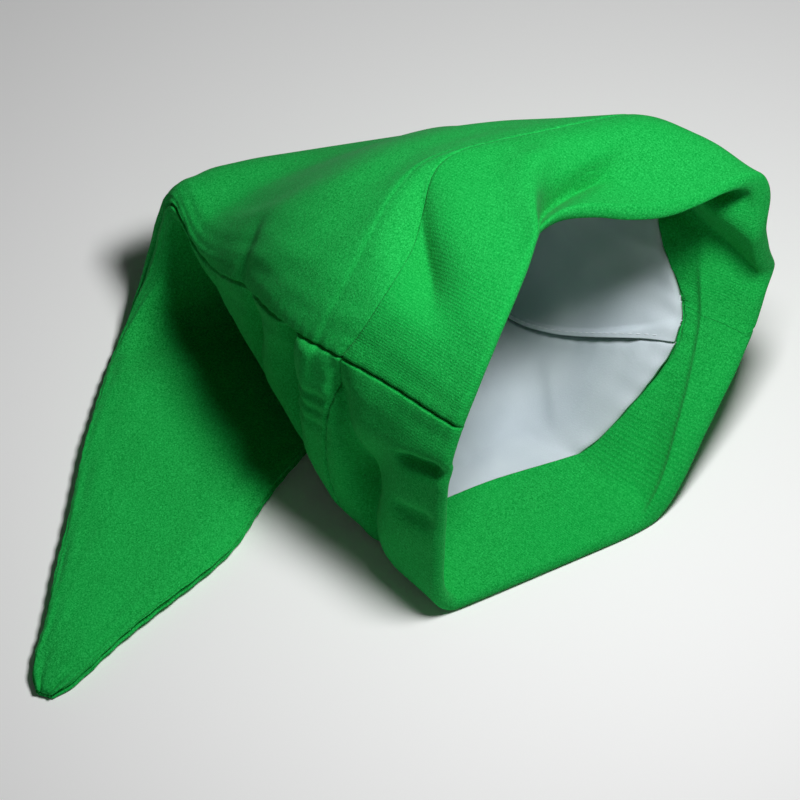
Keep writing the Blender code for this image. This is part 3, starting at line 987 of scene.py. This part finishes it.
def band_half(side, first_turn):
    """One half of the headband. Walking the strip from the cone's seam to the facing's edge, the
    inset goes from 0 through the roll's half circle to the hem's thickness."""
    radius = HEM_FOLD / 2
    turn = np.linspace(0, math.pi, ROLL_ROWS + 1)
    outer = row_places(BAND_WIDTH - SEAM_GAP / 2, radius, BAND_ROWS, 0.4)[:-1]
    inner = row_places(radius, FACING_DEPTH, FACING_ROWS, 0.4)[1:]
    walked = np.concatenate([BAND_WIDTH - outer, BAND_WIDTH - radius + turn * radius,
                             BAND_WIDTH + radius * math.pi - 2 * radius + inner])
    inside = np.concatenate([0 * outer, (1 - np.cos(turn)) / 2, 1 + 0 * inner])[:, None]

    def layer(depth):
        place = np.concatenate([outer, radius - (radius - depth) * np.sin(turn), inner])
        inset = np.concatenate([0 * outer + depth, radius - (radius - depth) * np.cos(turn),
                                0 * inner + HEM_FOLD - depth])
        before, around = half_grid(place, first_turn, BAND_COLUMNS)
        stretch = (facing_depth(around) - radius) / (FACING_DEPTH - radius)
        facing = (np.arange(len(place)) > len(outer) + ROLL_ROWS)[:, None]
        outer_rows = (np.arange(len(place)) < len(outer))[:, None]
        along = np.where(facing, radius + (before - radius) * stretch, before)
        along = np.where(outer_rows, behind_seam(before, around), along)
        shared = -crease_depth(along, around, CREASES)
        outside = outer_relief(along, around, before)
        edge = facing_depth(around) - along
        within = soft_waves(along, around + FACING_WAVE_START, FACING_WAVES)
        within += crease_depth(along, around, FACING_CREASES)
        within -= seam_relief(edge, around * GIRTH, FACING_GROOVE)
        relief = shared + outside * (1 - inside) + within * inside
        flat = np.stack([around * GIRTH, walked[:, None] + 0 * around], axis=-1)
        return cloth_points(along, around, relief, inset[:, None] + 0 * around), flat

    face, flat = layer(0.0)
    rear, _ = layer(CLOTH)
    piece = cloth_piece(f"headband_{side}_cloth", face[::-1], rear[::-1], flat[::-1], RIBBED)
    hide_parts(f"headband_{side}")


for half_name, half_start in HALVES:
    band_half(half_name, half_start)

# %% [markdown]
# ## The lining
#
# A plain white bag, sewn to the facing's edge. Its side seams have turned a little round the hat,
# and it closes towards its end. Near the seam the cloth is slightly gathered.

# %% Lining halves
LINING_COLUMNS = 210
LINING_ROWS = 110
LINING_OFFSET = 0.018
OFFSET_START = 30 * MM
OFFSET_FADE = 25 * MM
LINING_TWIST = 0.208
LINING_WAVES = 0.6 * MM
WAVE_STRETCH = 1.3
LINING_WAVE_START = 0.17
LINING_PROUD = 0.3 * MM
GATHER_PITCH = 13 * MM
GATHER_WANDER = 2.0
GATHER_DRIFT = 40
GATHER_HEIGHT = 0.35 * MM
GATHER_REACH = 14 * MM
EDGE_GROOVE = 0.9 * MM
LINING_SEAM_GROOVE = 0.5 * MM
LINING_SEAM_SHARE = 0.0002

# Creases of the lining, with the columns of the table above. All are ridges towards the hollow.
LINING_CREASES = [
    ("lining_pull", (0.588, 86), (0.596, 74), 4.0, 11.0, 1.8, 1.3),
    ("lining_swell", (0.640, 100), (0.700, 80), 12.0, 12.0, 2.0, 2.0),
    ("top_pull", (0.350, 80), (0.420, 110), 9.0, 14.0, 1.8, 2.2),
    ("low_pull", (0.720, 62), (0.740, 110), 8.0, 10.0, 1.8, 1.4),
]
ALLOWANCE_HEIGHT = 2.8 * MM
ALLOWANCE_WIDTH = 2.9 * MM
ALLOWANCE_FLARE = 5.0 * MM
FLARE_START = 35 * MM
FLARE_FADE = 14 * MM
ALLOWANCE_START = 47 * MM
START_FADE = 1.5 * MM
START_SHARE = 0.35
ALLOWANCE_END = 155 * MM
END_FADE = 6 * MM


def lining_turn(place):
    """How far round the lining's seams have turned: a little at the facing's edge, which dies
    out exponentially, and then growing with the square of the depth."""
    offset = LINING_OFFSET * np.exp(-(place - OFFSET_START) / OFFSET_FADE)
    return offset + LINING_TWIST * (place / LINING_DEPTH) ** 2


def lining_places(place, around):
    """Where the lining's rows lie along the hat: they start at the facing's uneven edge and even
    out towards the end."""
    deep = (LINING_DEPTH - place) / (LINING_DEPTH - FACING_DEPTH)
    return place + (facing_depth(around) - FACING_DEPTH) * deep


def lining_relief(along, around, edge):
    """Height of the lining's visible side, towards the hollow: gathers as a sine of uneven pitch
    that fades from the facing's edge, soft waves, creases, the edge's groove and the folds that
    all layers share."""
    wander = GATHER_WANDER * np.sin(around * GATHER_DRIFT)
    gathers = np.sin(around * GIRTH * 2 * math.pi / GATHER_PITCH + wander)
    relief = GATHER_HEIGHT * (1 + gathers) * np.exp(-edge / GATHER_REACH)
    relief += soft_waves(along * WAVE_STRETCH, around + LINING_WAVE_START, LINING_WAVES) + LINING_PROUD
    relief += crease_depth(along, around, LINING_CREASES)
    relief += seam_relief(edge, around * GIRTH, EDGE_GROOVE)
    return relief + crease_depth(along, around, CREASES)


def allowance_height(along, seam):
    """Height of the seam allowance that lies pressed to one side of the lining's far seam: flat
    with a steep far edge, and fading in and out along the seam."""
    start = START_SHARE + (1 - START_SHARE) / (1 + np.exp(-(along - ALLOWANCE_START) / START_FADE))
    end = 1 / (1 + np.exp((along - ALLOWANCE_END) / END_FADE))
    flare = np.exp(-np.clip(along - FLARE_START, 0, None) / FLARE_FADE)
    width = ALLOWANCE_WIDTH + ALLOWANCE_FLARE * flare
    return ALLOWANCE_HEIGHT * np.exp(-((seam / width) ** 6)) * start * end


def lining_surface(side, place, share, depth=0.0):
    """Points of one half of the lining, this deep behind its visible side, and where they lie
    around the hat. Share runs across the half from seam to seam."""
    start = (0.0 if side == "top" else 0.5) + LINING_SEAM_SHARE
    around = start + lining_turn(place) + (0.5 - 2 * LINING_SEAM_SHARE) * share
    along = lining_places(place, around)
    closing = CLOSING * np.clip((along - CLOSING_START) / (LINING_DEPTH - CLOSING_START), 0, 1) ** 2
    seam = np.minimum(share, 1 - share) * GIRTH / 2
    relief = lining_relief(along, around, place - FACING_DEPTH)
    if side == "top":
        relief += seam_relief(seam, along, LINING_SEAM_GROOVE) * (share < 0.5)
        relief += allowance_height(along, (1 - share) * GIRTH / 2)
    else:
        relief += seam_relief(seam, along, LINING_SEAM_GROOVE)
    return cloth_points(along, around, -relief, HEM_FOLD - depth + 0 * along, closing), around


def lining_half(side):
    """One half of the lining bag, with its visible side towards the hollow."""
    rows = row_places(FACING_DEPTH + SEAM_GAP, LINING_DEPTH, LINING_ROWS, 0.5)
    place, share = np.meshgrid(rows, crowded(LINING_COLUMNS), indexing="ij")
    face, around = lining_surface(side, place, share)
    rear, _ = lining_surface(side, place, share, LINING_CLOTH)
    flat = np.stack([around * GIRTH, place], axis=-1)
    piece = cloth_piece(f"lining_{side}_cloth", face[::-1], rear[::-1], flat[::-1], LINING)
    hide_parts(f"lining_{side}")


for half_name, _ in HALVES:
    lining_half(half_name)

# %% [markdown]
# ## The lining's stitches
#
# The seam allowance is sewn down with a row of short white stitches. Each is an ellipsoid, long
# along the seam, that is half sunk in the cloth. All of them are one grid with one more dimension.

# %% Lining stitches
STITCH_LENGTH = 2.3 * MM
STITCH_PITCH = 3.1 * MM
STITCH_RADIUS = 0.26 * MM
STITCH_FROM_SEAM = 1.9 * MM
STITCH_RINGS = 8
STITCH_SIDES = 8
STITCHED_FROM = 64 * MM
STITCHED_TO = 150 * MM
SIDE_STEP = 0.002
POLE_REACH = 0.001 * MM


def lining_stitches():
    """Stitches along the lining's far seam. Each point is the stitch's middle plus a step along
    the seam by the cosine of its ring, and a step across and up by the sine. The points of the
    first and the last ring fall together, and are merged into one pole."""
    middle = np.arange(STITCHED_FROM, STITCHED_TO, STITCH_PITCH)
    share = np.full_like(middle, 1 - STITCH_FROM_SEAM / (GIRTH / 2))
    ahead, _ = lining_surface("top", middle + STITCH_LENGTH / 2, share)
    behind, _ = lining_surface("top", middle - STITCH_LENGTH / 2, share)
    beside, _ = lining_surface("top", middle, share - SIDE_STEP)
    centre = (ahead + behind) / 2
    forward = unit(ahead - behind)
    across = unit(beside - centre)
    upward = unit(np.cross(forward, across))
    ring = np.linspace(0, math.pi, STITCH_RINGS + 1)
    turn = np.linspace(0, 2 * math.pi, STITCH_SIDES, endpoint=False)
    ring, turn = (part[None, :, :, None] for part in np.meshgrid(ring, turn, indexing="ij"))
    points = (
        centre[:, None, None] + forward[:, None, None] * STITCH_LENGTH / 2 * np.cos(ring)
        + (across[:, None, None] * np.cos(turn) + upward[:, None, None] * np.sin(turn))
        * STITCH_RADIUS * np.sin(ring)
    )
    count = len(middle)
    index = np.arange(count * (STITCH_RINGS + 1) * STITCH_SIDES)
    index = index.reshape(count, STITCH_RINGS + 1, STITCH_SIDES)
    beyond = np.roll(index, -1, axis=2)
    quads = np.stack([index[:, :-1], index[:, 1:], beyond[:, 1:], beyond[:, :-1]], axis=-1).reshape(-1, 4)
    mesh = bpy.data.meshes.new("lining_stitches")
    mesh.from_pydata(points.reshape(-1, 3).tolist(), [], quads.tolist())
    merged = bmesh.new()
    merged.from_mesh(mesh)
    bmesh.ops.remove_doubles(merged, verts=merged.verts, dist=POLE_REACH)
    merged.to_mesh(mesh)
    merged.free()
    mesh.shade_smooth()
    mesh.materials.append(THREAD)
    stitches = bpy.data.objects.new("lining_stitches", mesh)
    bpy.context.scene.collection.objects.link(stitches)
    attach(stitches, BODY)
    print(count, "stitches")


lining_stitches()
